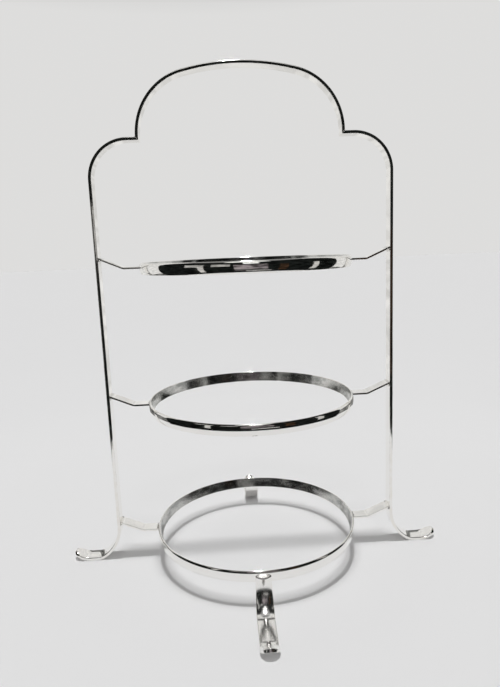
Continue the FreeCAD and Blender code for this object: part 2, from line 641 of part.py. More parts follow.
def make_cusp_solder(name, arch, upright):
    """Solder in the right-hand cusp, on the crowned faces of the arch and the shoulder."""
    body = new_body(name + "_block")
    x = dim("cusp_inside") + dim("strip_thickness") / 2
    z = dim("shoulder_height") + dim("strip_thickness") / 2
    corner = ("Dimensions.cusp_inside + Dimensions.strip_thickness / 2",
              "Dimensions.shoulder_height + Dimensions.strip_thickness / 2")
    far = "Dimensions.strip_thickness + Dimensions.cusp_solder"
    span = dim("strip_thickness") + dim("cusp_solder")
    outline = new_sketch(body, name + "_outline", "XZ_Plane")
    closed_outline(outline, [(x, z), (x + span, z), (x, z + span)],
                   [corner, (f"{corner[0]} + {far}", corner[1]), (corner[0], f"{corner[1]} + {far}")])
    run = body.newObject("PartDesign::Pad", name + "_run")
    run.Profile = outline
    run.SideType = "Symmetric"
    run.setExpression("Length", "Dimensions.strip_width - 2 * Dimensions.cusp_solder")
    doc.recompute()
    shaped = doc.addObject("Part::Cut", name + "_over_arch")
    shaped.Base = body
    shaped.Tool = arch
    done = doc.addObject("Part::Cut", name)
    done.Base = shaped
    done.Tool = upright
    doc.recompute()
    return done


def group(name, pieces):
    """Several separate solids of one kind in one node."""
    compound = doc.addObject("Part::Compound", name)
    compound.Label = name
    compound.Links = pieces
    return compound


# ---------------------------------------------------------------- the whole stand

TIERS = [("top", "top_rim"), ("middle", "middle_rim"), ("bottom", "bottom_rim")]
LEFT_RIGHT = (1, 0, 0)
FRONT_REAR = (0, 1, 0)

nodes = []
arch = make_arch("handle_arch")
upright = make_upright("right_upright")
nodes += [arch, upright, mirrored(upright, "left_upright", LEFT_RIGHT)]

upright_fillets, ring_fillets = [], []
for tier, rim in TIERS:
    nodes.append(make_ring(f"{tier}_plate_ring", rim))
    arm = make_arm(f"{tier}_right_arm", rim)
    nodes += [arm, mirrored(arm, f"{tier}_left_arm", LEFT_RIGHT)]
    at_upright = make_upright_fillet(f"{tier}_upright_solder", rim)
    at_ring = make_ring_fillet(f"{tier}_ring_solder", rim)
    upright_fillets += [at_upright, mirrored(at_upright, f"{tier}_upright_solder_left", LEFT_RIGHT)]
    ring_fillets += [at_ring, mirrored(at_ring, f"{tier}_ring_solder_left", LEFT_RIGHT)]

leg = make_leg("front_leg")
nodes += [leg, mirrored(leg, "rear_leg", FRONT_REAR)]
leg_fillet = make_leg_fillet("front_leg_solder")
cusp_solder = make_cusp_solder("cusp_solder", arch, upright)
doc.recompute()
nodes += [
    group("upright_solder_fillets", upright_fillets),
    group("ring_solder_fillets", ring_fillets),
    group("leg_solder_fillets", [leg_fillet, mirrored(leg_fillet, "rear_leg_solder", FRONT_REAR)]),
    group("handle_solder_joints", [cusp_solder, mirrored(cusp_solder, "cusp_solder_left", LEFT_RIGHT)]),
]
doc.recompute()

for item in doc.Objects:
    if "Invalid" in item.State or "Error" in item.State:
        raise RuntimeError(f"{item.Name} failed: {item.State}")
for node in nodes:
    if node.Shape.isNull() or not node.Shape.isValid() or not node.Shape.Solids:
        raise RuntimeError(f"{node.Label} has no valid solid")

os.makedirs("parts", exist_ok=True)
for node in nodes:
    node.Shape.exportStep(f"parts/{node.Label}.step")
    box = node.Shape.optimalBoundingBox()
    print(f"{node.Label:24s} solids {len(node.Shape.Solids)}  volume {node.Shape.Volume:9.1f}  "
          f"x {box.XMin:.2f} {box.XMax:.2f}  y {box.YMin:.2f} {box.YMax:.2f}  z {box.ZMin:.2f} {box.ZMax:.2f}")
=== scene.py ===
import bisect
import math

import bmesh
import bpy
from mathutils import Matrix, Vector


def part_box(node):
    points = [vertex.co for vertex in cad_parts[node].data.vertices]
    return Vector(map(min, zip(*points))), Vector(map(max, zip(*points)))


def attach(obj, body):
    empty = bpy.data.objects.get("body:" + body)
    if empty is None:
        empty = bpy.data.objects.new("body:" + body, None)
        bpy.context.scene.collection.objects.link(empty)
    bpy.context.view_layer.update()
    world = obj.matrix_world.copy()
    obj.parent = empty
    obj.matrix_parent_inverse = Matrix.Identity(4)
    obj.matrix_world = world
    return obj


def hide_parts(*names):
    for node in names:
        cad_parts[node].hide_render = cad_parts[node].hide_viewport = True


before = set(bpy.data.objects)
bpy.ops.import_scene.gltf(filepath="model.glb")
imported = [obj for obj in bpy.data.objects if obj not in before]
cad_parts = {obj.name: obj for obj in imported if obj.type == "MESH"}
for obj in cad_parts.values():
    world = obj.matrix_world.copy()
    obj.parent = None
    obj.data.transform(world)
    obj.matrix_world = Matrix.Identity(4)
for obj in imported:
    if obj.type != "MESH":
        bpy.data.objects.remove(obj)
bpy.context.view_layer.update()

# The looks of a silver-plated three-tier cake stand. Every size is in metres, in the CAD's own frame:
# X to the stand's right, Y to its rear, Z up, with the origin on the floor under its centre.

MM = 0.001
TIERS = ("top", "middle", "bottom")
SIDES = (("right", 1), ("left", -1))

# ---------------------------------------------------------------- sizes

ring_low, ring_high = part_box("top_plate_ring")
arch_low, arch_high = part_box("handle_arch")
upright_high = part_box("right_upright")[1]
arm_low, arm_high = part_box("top_right_arm")
leg_low, leg_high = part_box("front_leg")

RING_RADIUS = ring_high.x
RING_WALL = 1.5 * MM
LIP_RADIUS = 4.5 * MM
RING_HEIGHT = ring_high.z - ring_low.z
RING_RISE = RING_HEIGHT - LIP_RADIUS
RING_CROWN = 12.4 * MM         # radius of the crowned outer wall
RING_LEAN = math.radians(10)   # slope of that wall where the shoulder starts
RIM_SHOULDER = 3.2 * MM        # radius of the shoulder between that wall and the rim
RIM_ANGLE = math.radians(48)   # slope where the shoulder meets the rim's own rounding
RIM_ROUND = 0.6 * MM           # rounding of the rim's outer edge
RIM_INNER_ROUND = 0.4 * MM     # rounding of the rim's inner edge
LIP_ROUND = 0.35 * MM          # rounding of the lip's edges
RIM_HEIGHT = {tier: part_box(f"{tier}_plate_ring")[1].z for tier in TIERS}

STRIP_THICKNESS = 3.2 * MM
CROWN_RADIUS = 60 * MM         # crown across the D-section strip's outer face
STRIP_WIDTH = arch_high.y - arch_low.y
TOE_WIDTH = leg_high.x - leg_low.x

UPRIGHT_INSIDE = arm_high.x
SHOULDER_HEIGHT = upright_high.z - STRIP_THICKNESS
SHOULDER_RADIUS = 32 * MM
CUSP_INSIDE = arch_high.x - STRIP_THICKNESS
ARCH_HEIGHT = arch_high.z - STRIP_THICKNESS
ARCH_TOP_RADIUS = 200 * MM     # the arch's nearly flat top
HAUNCH_RADIUS = 52 * MM        # the bend on each side of it

LEG_INSIDE = 94.7 * MM
LEG_TOP = leg_high.z
LEG_TOP_CROWN = 3.4 * MM       # how far the rounded top rises from its sides to its middle
LEG_TOP_DROP = 0.9 * MM        # how far the filed top stays below the CAD's
LEG_CROWN_RADIUS = 14 * MM     # crown across the legs, rounder than the frame's

# One foot: the strip's inner face, its two bends, the ends of its flat sole, and its upturned toe.
SIDE_FOOT = {"inside": UPRIGHT_INSIDE, "upper": 35 * MM, "lower": 15.5 * MM, "heel": 155 * MM,
             "sole": 161.5 * MM, "toe": 22 * MM, "rise": 7 * MM, "flare": (14 * MM, 60 * MM)}
LEG_FOOT = {"inside": LEG_INSIDE, "upper": 30 * MM, "lower": 20 * MM, "heel": 116.7 * MM,
            "sole": 138.4 * MM, "toe": 28 * MM, "rise": 7.5 * MM, "flare": (4 * MM, 28 * MM)}

ARM_WIDTH = arm_high.y - arm_low.y
ARM_THICKNESS = 1.8 * MM
ARM_DROP = RIM_HEIGHT["top"] - arm_low.z
ARM_CLIMB = 9.2 * MM
ARM_LEVEL_END = 109.5 * MM
ARM_BEND_RADIUS = 9 * MM
ARM_SLOPE = math.atan2(ARM_CLIMB, UPRIGHT_INSIDE - ARM_LEVEL_END)

SOLDER_LEG = 1.6 * MM          # reach of the solder along each face at the rings, twice that at the uprights
CUSP_SOLDER = 0.8 * MM         # the same in the two cusps of the handle
LEG_SOLDER_SWEEP = math.radians(58)  # how far round the lip the legs' solder goes

INNER_EDGE_ROUND = 0.3 * MM    # worn edge of the strips beside their flat inner face
OUTER_EDGE_ROUND = 0.6 * MM    # rounded edge of the strips beside their crowned face
ARM_EDGE_ROUND = 0.3 * MM      # worn edge of the straps
STRIP_EDGES = (INNER_EDGE_ROUND, OUTER_EDGE_ROUND)
ARM_EDGES = (ARM_EDGE_ROUND, ARM_EDGE_ROUND)
EDGE_STEPS = 6                 # facets in each rounded edge
END_FADE = 8 * MM              # length over which a shaped end blends into the strip
TRIM_FADE = 12 * MM            # the same for the legs' rounded tops
ACROSS = 14                    # columns across a strip
RING_STEPS = 360               # segments round a plate ring
BEND_STEP = math.radians(2.2)  # turn between two rows of a bend
STRAIGHT_STEP = 5 * MM         # distance between two rows of a straight run
# rows round a toe's end, as shares of its length
TOE_ROWS = (0.12, 0.25, 0.38, 0.5, 0.62, 0.73, 0.83, 0.91, 0.965, 1.0)
END_ROWS = (0.3 * MM, 0.9 * MM, 2.4 * MM)  # how far the rows that keep a shaped end crisp are from it


# ---------------------------------------------------------------- paths

class Path:
    """Lines and arcs end to end in one upright plane, along a strip's inner face.

    Points are (out, up). The strip's outer face lies to the left of the direction of travel.
    """

    def __init__(self):
        self.pieces = []
        self.starts = [0.0]

    def add(self, length, rule, step):
        self.pieces.append((rule, length, step))
        self.starts.append(self.starts[-1] + length)

    def line(self, first, last):
        first, last = Vector(first), Vector(last)
        run = last - first
        direction = run.normalized()
        self.add(run.length, lambda s: (first + direction * s, direction), STRAIGHT_STEP)

    def arc(self, centre, radius, start, end):
        """An arc from one angle to another, in degrees, either way round."""
        centre, turn = Vector(centre), math.radians(end - start)
        sense = 1 if turn > 0 else -1

        def rule(s):
            angle = math.radians(start) + sense * s / radius
            around = Vector((math.cos(angle), math.sin(angle)))
            return centre + around * radius, Vector((-around.y, around.x)) * sense

        self.add(abs(turn) * radius, rule, BEND_STEP * radius)

    @property
    def length(self):
        return self.starts[-1]

    def at(self, s):
        """The place at a distance along the path, and the outward normal there."""
        index = min(max(bisect.bisect_right(self.starts, s) - 1, 0), len(self.pieces) - 1)
        place, direction = self.pieces[index][0](s - self.starts[index])
        return place, Vector((-direction.y, direction.x))

    def rows(self, begin, end):
        """Distances along the path for the rows of a mesh, closer together in the bends."""
        rows = [begin]
        for (_, length, step), start in zip(self.pieces, self.starts):
            count = max(1, math.ceil(length / step))
            rows += [start + length * k / count for k in range(count + 1)]
        rows = sorted(row for row in rows if begin <= row <= end)
        kept = [rows[0]]
        for row in rows[1:] + [end]:
            if row - kept[-1] > 0.3 * MM:
                kept.append(row)
        kept[-1] = end
        return kept


def add_foot(path, foot):
    """The two bends, the flat sole and the upturned toe, from the height where the bends start."""
    upper, lower, inside, heel = foot["upper"], foot["lower"], foot["inside"], foot["heel"]
    turn = math.acos((upper - (heel - inside)) / (upper - lower))
    degrees = math.degrees(turn)
    ankle = foot_ankle(foot)
    path.arc((inside + upper, ankle), upper, 180, 180 + degrees)
    path.arc((heel, lower), lower, 180 + degrees, 270)
    path.line((heel, 0), (foot["sole"], 0))
    toe_turn = math.degrees(math.acos(1 - foot["rise"] / foot["toe"]))
    path.arc((foot["sole"], foot["toe"]), foot["toe"], 270, 270 + toe_turn)


def foot_ankle(foot):
    """The height where a foot's bends start."""
    upper, lower = foot["upper"], foot["lower"]
    turn = math.acos((upper - (foot["heel"] - foot["inside"])) / (upper - lower))
    return upper * math.sin(turn) + lower * (1 - math.sin(turn))


def toe_distance(path, foot, back):
    """Distance along the path of the toe's point that is a given way back from the tip, seen from above."""
    tip = path.at(path.length)[0].x
    angle = math.asin((tip - back - foot["sole"]) / foot["toe"])
    return path.starts[-2] + foot["toe"] * angle


def ease(share):
    """A smooth step from 0 to 1."""
    share = min(max(share, 0.0), 1.0)
    return share * share * (3 - 2 * share)


# ---------------------------------------------------------------- strip meshes

def crowned(side, radius=CROWN_RADIUS):
    """Thickness of the D-section strip at a distance to the side of its centre line."""
    return STRIP_THICKNESS - radius + math.sqrt(radius ** 2 - side ** 2)


def edge_loops(inner_round, outer_round):
    """Loops round a strip's rim, from the inner face to the outer: (inset, share of thickness, offset)."""
    quarter = [math.pi / 2 * k / EDGE_STEPS for k in range(EDGE_STEPS + 1)]
    turns = [(1 - math.sin(angle), 1 - math.cos(angle)) for angle in quarter]
    inner = [(inner_round * inset, 0, inner_round * lift) for inset, lift in turns]
    outer = [(outer_round * inset, 1, -outer_round * lift) for inset, lift in reversed(turns)]
    return inner + outer


def columns(count, support):
    """Shares from -1 to 1 across a strip, with a narrow column beside each edge."""
    inner = 1 - support
    return [-1.0] + [inner * (2 * k / count - 1) for k in range(count + 1)] + [1.0]


class Strip:
    """A bent strip as one closed mesh: two broad faces and rounded edges between them.

    A row is a distance along the path, or a share of the toe's round end. half_width goes by height,
    thickness by the distance from the centre line, and place turns (out, across, up) into a point.
    The cuts and the trim say how far an end is set back at a place across it and a height in it.
    """

    def __init__(self, path, half_width, thickness, edges, place, cut_start=None, trim_start=None, toe=None,
                 cut_end=None):
        self.path, self.half_width, self.thickness = path, half_width, thickness
        self.loops, self.place = edge_loops(*edges), place
        self.cut_start, self.trim_start, self.cut_end = cut_start, trim_start, cut_end
        self.toe = toe
        self.shares = columns(ACROSS, 0.045)
        end = toe_distance(path, toe, TOE_WIDTH / 2) if toe else path.length
        self.rows = [(row, None) for row in path.rows(0.0, end)]
        if toe:
            self.rows += [(None, share) for share in TOE_ROWS]
        if trim_start or cut_start:
            self.rows[1:1] = [(row, None) for row in END_ROWS]

    def plan(self, row, share, inset):
        """Distance along the path and distance to the side of one grid point."""
        along, toe_share = self.rows[row]
        if toe_share is None:
            return along, share * (self.half_width(self.path.at(along)[0].y) - inset)
        radius = TOE_WIDTH / 2 - inset
        ahead = radius * toe_share * math.sqrt(1 - share ** 2 / 2)
        side = radius * share * math.sqrt(1 - toe_share ** 2 / 2)
        return toe_distance(self.path, self.toe, TOE_WIDTH / 2 - ahead), side

    def point(self, row, share, inset, portion, offset):
        """One vertex: a portion of the thickness plus an offset, above the inner face."""
        along, side = self.plan(row, share, inset)
        thickness = self.thickness(side)
        height = portion * thickness + offset
        if self.rows[row][1] is None:
            from_start, from_end = along, self.path.length - along
            if self.cut_start:
                along += self.cut_start(side, height) * max(0, 1 - from_start / END_FADE)
            if self.trim_start:
                along += (self.trim_start(side, height) + inset) * max(0, 1 - from_start / TRIM_FADE)
            if self.cut_end:
                along -= self.cut_end(side, height) * max(0, 1 - from_end / END_FADE)
        spot, normal = self.path.at(along)
        spot = spot + normal * height
        return self.place(spot.x, side, spot.y), (along, side, height)

    def build(self, name):
        mesh = bmesh.new()
        grain = mesh.verts.layers.float_vector.new("grain")
        worn = mesh.verts.layers.float.new("worn")
        last_row, last_column = len(self.rows) - 1, len(self.shares) - 1

        def vertex(row, column, loop, wear):
            spot, coordinates = self.point(row, self.shares[column], *loop)
            made = mesh.verts.new(spot)
            made[grain], made[worn] = coordinates, wear
            return made

        def sheet(loop):
            return [[vertex(row, column, loop, 1.0 if column in (0, last_column) else 0.0)
                     for column in range(last_column + 1)] for row in range(last_row + 1)]

        def tile(first, second):
            for a, b in zip(zip(first, first[1:]), zip(second, second[1:])):
                mesh.faces.new((a[0], a[1], b[1], b[0]))

        inner, outer = sheet(self.loops[0]), sheet(self.loops[-1])
        for face in (inner, outer):
            for first, second in zip(face, face[1:]):
                tile(first, second)

        near = [(row, 0) for row in range(last_row + 1)]
        tip = [(last_row, column) for column in range(last_column + 1)]
        far = [(row, last_column) for row in range(last_row, -1, -1)]
        back = [(0, column) for column in range(last_column, -1, -1)]
        if self.toe and self.trim_start:
            runs = [near + tip[1:] + far[1:] + back[1:]]
        elif self.toe:
            runs = [near + tip[1:] + far[1:]]
        else:
            runs = [near, far]
        rims = []
        for run in runs:
            closed = run[0] == run[-1]
            rim = [[inner[row][column] for row, column in run]]
            for loop in self.loops[1:-1]:
                wear = 1.0 if loop[1] in (0, 1) else 0.4
                ring = [vertex(row, column, loop, wear) for row, column in (run[:-1] if closed else run)]
                rim.append(ring + ring[:1] if closed else ring)
            rim.append([outer[row][column] for row, column in run])
            for first, second in zip(rim, rim[1:]):
                tile(first, second)
            rims.append(rim)
        near_rim, far_rim = rims[0], rims[-1]
        if self.cut_start:
            self.cap(mesh, inner[0], outer[0],
                     [ring[0] for ring in near_rim], [ring[-1] for ring in far_rim])
        if self.cut_end:
            self.cap(mesh, inner[-1], outer[-1],
                     [ring[-1] for ring in near_rim], [ring[0] for ring in far_rim])
        bmesh.ops.recalc_face_normals(mesh, faces=mesh.faces)
        return finish_mesh(mesh, name)

    @staticmethod
    def cap(mesh, inner, outer, near, far):
        """Close a cut end with quads between the two broad faces, and between the rounded edges' halves."""
        for a, b, c, d in zip(inner, inner[1:], outer[1:], outer):
            mesh.faces.new((a, b, c, d))
        for rim in (near, far):
            low, high = 0, len(rim) - 1
            while high - low > 2:
                mesh.faces.new((rim[low], rim[low + 1], rim[high - 1], rim[high]))
                low, high = low + 1, high - 1
            if high - low == 2:
                mesh.faces.new((rim[low], rim[low + 1], rim[high]))


def finish_mesh(mesh, name):
    """Turn a bmesh into a smooth-shaded object in the scene."""
    data = bpy.data.meshes.new(name)
    mesh.to_mesh(data)
    mesh.free()
    data.shade_smooth()
    thing = bpy.data.objects.new(name, data)
    bpy.context.scene.collection.objects.link(thing)
    return thing


def flared(foot):
    """Half width of a strip by height: the toe's width below, the strip's own width above."""
    low, high = foot["flare"]

    def half_width(height):
        return (STRIP_WIDTH + (TOE_WIDTH - STRIP_WIDTH) * ease((high - height) / (high - low))) / 2

    return half_width


def make_upright(name, side):
    """Shoulder, upright and curled foot, from the cusp to the toe."""
    path = Path()
    inside, height, bend = UPRIGHT_INSIDE, SHOULDER_HEIGHT, SHOULDER_RADIUS
    path.line((CUSP_INSIDE, height), (inside - bend, height))
    path.arc((inside - bend, height - bend), bend, 90, 0)
    path.line((inside, height - bend), (inside, foot_ankle(SIDE_FOOT)))
    add_foot(path, SIDE_FOOT)
    return Strip(path, flared(SIDE_FOOT), crowned, STRIP_EDGES,
                 lambda out, across, up: Vector((side * out, across, up)),
                 cut_start=lambda across, depth: depth, toe=SIDE_FOOT).build(name)


def make_arch(name):
    """Left cusp to right cusp: springing, haunch, flat crown, haunch, springing."""
    path = Path()
    haunch_x = CUSP_INSIDE - HAUNCH_RADIUS
    lean = math.degrees(math.asin(haunch_x / (ARCH_TOP_RADIUS - HAUNCH_RADIUS)))
    centre_z = ARCH_HEIGHT - ARCH_TOP_RADIUS
    haunch_z = centre_z + (ARCH_TOP_RADIUS - HAUNCH_RADIUS) * math.cos(math.radians(lean))
    path.line((-CUSP_INSIDE, SHOULDER_HEIGHT), (-CUSP_INSIDE, haunch_z))
    path.arc((-haunch_x, haunch_z), HAUNCH_RADIUS, 180, 90 + lean)
    path.arc((0, centre_z), ARCH_TOP_RADIUS, 90 + lean, 90 - lean)
    path.arc((haunch_x, haunch_z), HAUNCH_RADIUS, 90 - lean, 0)
    path.line((CUSP_INSIDE, haunch_z), (CUSP_INSIDE, SHOULDER_HEIGHT))
    return Strip(path, lambda height: STRIP_WIDTH / 2, crowned, STRIP_EDGES,
                 lambda out, across, up: Vector((out, across, up)),
                 cut_start=lambda across, depth: depth, cut_end=lambda across, depth: depth).build(name)


def make_leg(name, side):
    """Short leg with a rounded top whose face is filed back at 45 degrees, like a thumbnail."""
    path = Path()
    path.line((LEG_INSIDE, LEG_TOP), (LEG_INSIDE, foot_ankle(LEG_FOOT)))
    add_foot(path, LEG_FOOT)
    crown = (TOE_WIDTH ** 2 / 4 + LEG_TOP_CROWN ** 2) / (2 * LEG_TOP_CROWN)
    softness = 0.4 * MM

    def top(across, depth):
        drop = crown - math.sqrt(crown ** 2 - across ** 2)
        return LEG_TOP_DROP + (drop + depth + math.hypot(drop - depth, softness)) / 2

    return Strip(path, flared(LEG_FOOT), lambda across: crowned(across, LEG_CROWN_RADIUS), STRIP_EDGES,
                 lambda out, across, up: Vector((across, side * out, up)),
                 trim_start=top, toe=LEG_FOOT).build(name)


def make_arm(name, tier, side):
    """A strap that leaves the ring level, bends and climbs to the upright."""
    low = RIM_HEIGHT[tier] - ARM_DROP
    tangent = ARM_BEND_RADIUS * math.tan(ARM_SLOPE / 2)
    slope = Vector((math.cos(ARM_SLOPE), math.sin(ARM_SLOPE)))
    bend = Vector((ARM_LEVEL_END, low))
    path = Path()
    path.line((RING_RADIUS - RING_WALL / 2, low), bend - Vector((tangent, 0)))
    path.arc(bend + Vector((-tangent, ARM_BEND_RADIUS)), ARM_BEND_RADIUS, 270, 270 + math.degrees(ARM_SLOPE))
    path.line(bend + slope * tangent, (UPRIGHT_INSIDE, low + ARM_CLIMB))

    def seat(across, depth):
        """The strap's end follows the ring's round wall."""
        return math.sqrt(RING_RADIUS ** 2 - across ** 2) - RING_RADIUS

    return Strip(path, lambda height: ARM_WIDTH / 2, lambda across: ARM_THICKNESS, ARM_EDGES,
                 lambda out, across, up: Vector((side * out, across, up)),
                 cut_start=seat, cut_end=lambda across, depth: -depth * math.tan(ARM_SLOPE)).build(name)


# ---------------------------------------------------------------- rings

def ring_outline():
    """The ring's section as (radius, height below the rim, wear, inside), once round and closed.

    A full rounded rim, a gently crowned outer wall that tucks under, and an inner face that slopes in
    to the lip the plate rests on.
    """
    points = []

    def add_arc(centre, radius, start, end, steps, wear=0.0):
        for k in range(steps + 1):
            angle = math.radians(start + (end - start) * k / steps)
            x, y = centre.x + radius * math.cos(angle), centre.y + radius * math.sin(angle)
            points.append((x, y, wear, 0.0))

    def away(angle):
        return Vector((math.cos(angle), math.sin(angle)))

    to_shoulder = away(RING_LEAN) * (RING_CROWN - RIM_SHOULDER)
    to_rim = away(RIM_ANGLE) * (RIM_SHOULDER - RIM_ROUND)
    crown_centre = Vector((RING_RADIUS - RING_CROWN, -to_shoulder.y - to_rim.y - RIM_ROUND))
    shoulder_centre = crown_centre + to_shoulder
    rim_centre = shoulder_centre + to_rim
    foot_angle = -math.asin((RING_HEIGHT - LIP_ROUND + crown_centre.y) / (RING_CROWN - LIP_ROUND))
    foot_centre = crown_centre + away(foot_angle) * (RING_CROWN - LIP_ROUND)
    lip_centre = Vector((RING_RADIUS - LIP_RADIUS + LIP_ROUND, -RING_HEIGHT + LIP_ROUND))
    inner_rim = Vector((rim_centre.x, -RIM_INNER_ROUND))
    slope = math.atan2(inner_rim.x - lip_centre.x, inner_rim.y - lip_centre.y)
    facing_in = 180 - math.degrees(slope)

    add_arc(rim_centre, RIM_ROUND, 90, math.degrees(RIM_ANGLE), 5, 1.0)
    add_arc(shoulder_centre, RIM_SHOULDER, math.degrees(RIM_ANGLE) - 4, math.degrees(RING_LEAN), 8, 0.5)
    add_arc(crown_centre, RING_CROWN, math.degrees(RING_LEAN) - 2, math.degrees(foot_angle) + 1, 14)
    add_arc(foot_centre, LIP_ROUND, math.degrees(foot_angle), -90, 5, 1.0)
    add_arc(lip_centre, LIP_ROUND, -90, facing_in - 360, 6, 1.0)
    face = away(math.radians(facing_in))
    low, high = lip_centre + face * LIP_ROUND, inner_rim + face * RIM_INNER_ROUND
    for share in (0.04, 0.3, 0.6, 0.96):
        points.append((*(low + (high - low) * share), 0.0, 1.0))
    add_arc(inner_rim, RIM_INNER_ROUND, facing_in, 90, 5, 1.0)
    return points


def make_ring(name, tier):
    """A plate ring: the section above, swept once round."""
    mesh = bmesh.new()
    grain = mesh.verts.layers.float_vector.new("grain")
    worn = mesh.verts.layers.float.new("worn")
    inside = mesh.verts.layers.float.new("inside")
    outline = ring_outline()
    travelled = [0.0]
    for first, second in zip(outline, outline[1:]):
        travelled.append(travelled[-1] + math.hypot(second[0] - first[0], second[1] - first[1]))
    rings = []
    for step in range(RING_STEPS):
        angle = 2 * math.pi * step / RING_STEPS
        ring = []
        for (radius, height, wear, inner), across in zip(outline, travelled):
            x, y = radius * math.cos(angle), radius * math.sin(angle)
            made = mesh.verts.new((x, y, RIM_HEIGHT[tier] + height))
            made[grain] = (x, y, across)
            made[worn], made[inside] = wear, inner
            ring.append(made)
        rings.append(ring)
    for index, ring in enumerate(rings):
        following = rings[(index + 1) % RING_STEPS]
        for k in range(len(outline)):
            after = (k + 1) % len(outline)
            mesh.faces.new((ring[k], ring[after], following[after], following[k]))
    bmesh.ops.recalc_face_normals(mesh, faces=mesh.faces)
    return finish_mesh(mesh, name)


# ---------------------------------------------------------------- solder

def add_fillet(mesh, stations, bury=0.25 * MM, steps=8):
    """One hollow-faced run of solder. A station is (corner, along one face, along the other, leg)."""
    sections = []
    for corner, first, second, leg in stations:
        start, end = corner + first * leg, corner + second * leg
        pull = corner + (first + second) * leg * 0.14
        section = [corner - (first + second) * bury, start - second * bury]
        for k in range(steps + 1):
            share = k / steps
            section.append(start * (1 - share) ** 2 + pull * 2 * share * (1 - share) + end * share ** 2)
        section.append(end - first * bury)
        sections.append([mesh.verts.new(point) for point in section])
    count = len(sections[0])
    for near, far in zip(sections, sections[1:]):
        for k in range(count):
            after = (k + 1) % count
            mesh.faces.new((near[k], near[after], far[after], far[k]))
    for section in (sections[0], sections[-1]):
        low, high = 1, count - 1
        mesh.faces.new((section[0], section[low], section[high]))
        while high - low > 2:
            mesh.faces.new((section[low], section[low + 1], section[high - 1], section[high]))
            low, high = low + 1, high - 1
        if high - low == 2:
            mesh.faces.new((section[low], section[low + 1], section[high]))


def across_run(width, count=16):
    """Places across a strap and the fillet's size there, drawn in towards both ends."""
    for k in range(count + 1):
        share = math.sin(math.pi * (k / count - 0.5))
        yield share * width / 2, math.sqrt(max(0.0, 1 - 0.7 * abs(share) ** 6))


def make_upright_solder(name):
    """The corner under each strap, where it meets the upright."""
    mesh = bmesh.new()
    down = Vector((0, 0, -1))
    for tier in TIERS:
        for _, side in SIDES:
            along = Vector((-side * math.cos(ARM_SLOPE), 0, -math.sin(ARM_SLOPE)))
            height = RIM_HEIGHT[tier] - ARM_DROP + ARM_CLIMB
            stations = [(Vector((side * UPRIGHT_INSIDE, across, height)), down, along, 2 * SOLDER_LEG * size)
                        for across, size in across_run(ARM_WIDTH)]
            add_fillet(mesh, stations)
    return solder_mesh(mesh, name)


def make_ring_solder(name):
    """The corner on top of each strap, where it meets the ring's round wall."""
    mesh = bmesh.new()
    up = Vector((0, 0, 1))
    for tier in TIERS:
        for _, side in SIDES:
            out = Vector((side, 0, 0))
            height = RIM_HEIGHT[tier] - ARM_DROP + ARM_THICKNESS
            stations = [(Vector((side * math.sqrt(RING_RADIUS ** 2 - across ** 2), across, height)),
                         up, out, SOLDER_LEG * size) for across, size in across_run(ARM_WIDTH)]
            add_fillet(mesh, stations)
    return solder_mesh(mesh, name)


def make_cusp_solder(name):
    """The outside corner between the arch and each shoulder."""
    mesh = bmesh.new()
    up = Vector((0, 0, 1))
    for _, side in SIDES:
        out = Vector((side, 0, 0))
        stations = []
        for across, size in across_run(STRIP_WIDTH - 2 * CUSP_SOLDER):
            lift = crowned(across)
            corner = Vector((side * (CUSP_INSIDE + lift), across, SHOULDER_HEIGHT + lift))
            stations.append((corner, up, out, CUSP_SOLDER * size))
        add_fillet(mesh, stations)
    return solder_mesh(mesh, name)


def make_leg_solder(name):
    """Solder in the gap between each leg's back and the ring's rolled lip, with a hollow underside."""
    mesh = bmesh.new()
    steps, lift = 8, 0.7 * MM
    lip = Vector((RING_RADIUS - LIP_RADIUS, -RING_RISE))
    bury = 0.2 * MM
    for side in (-1, 1):
        sections = []
        for across, size in across_run(STRIP_WIDTH - 2 * INNER_EDGE_ROUND):
            sweep = LEG_SOLDER_SWEEP * size
            front = LEG_INSIDE + bury
            section = [Vector((front, -RING_RISE))]
            for k in range(steps + 1):
                angle = sweep * k / steps
                reach = LIP_RADIUS - bury
                section.append(lip + Vector((math.cos(angle), -math.sin(angle))) * reach)
            low = section[-1]
            for k in range(1, steps):
                share = k / steps
                sag = lift * 4 * share * (1 - share)
                section.append(Vector((low.x + (front - low.x) * share, low.y + sag)))
            section.append(Vector((front, low.y)))
            ring = []
            for point in section:
                turn = math.asin(across / RING_RADIUS)
                ring.append(mesh.verts.new((point.x * math.sin(turn), side * point.x * math.cos(turn),
                                            RIM_HEIGHT["bottom"] + point.y)))
            sections.append(ring)
        count = len(sections[0])
        for near, far in zip(sections, sections[1:]):
            for k in range(count):
                after = (k + 1) % count
                mesh.faces.new((near[k], near[after], far[after], far[k]))
        for section in (sections[0], sections[-1]):
            mesh.faces.new(section)
    return solder_mesh(mesh, name)


def solder_mesh(mesh, name):
    bmesh.ops.recalc_face_normals(mesh, faces=mesh.faces)
    return finish_mesh(mesh, name)


# ---------------------------------------------------------------- materials

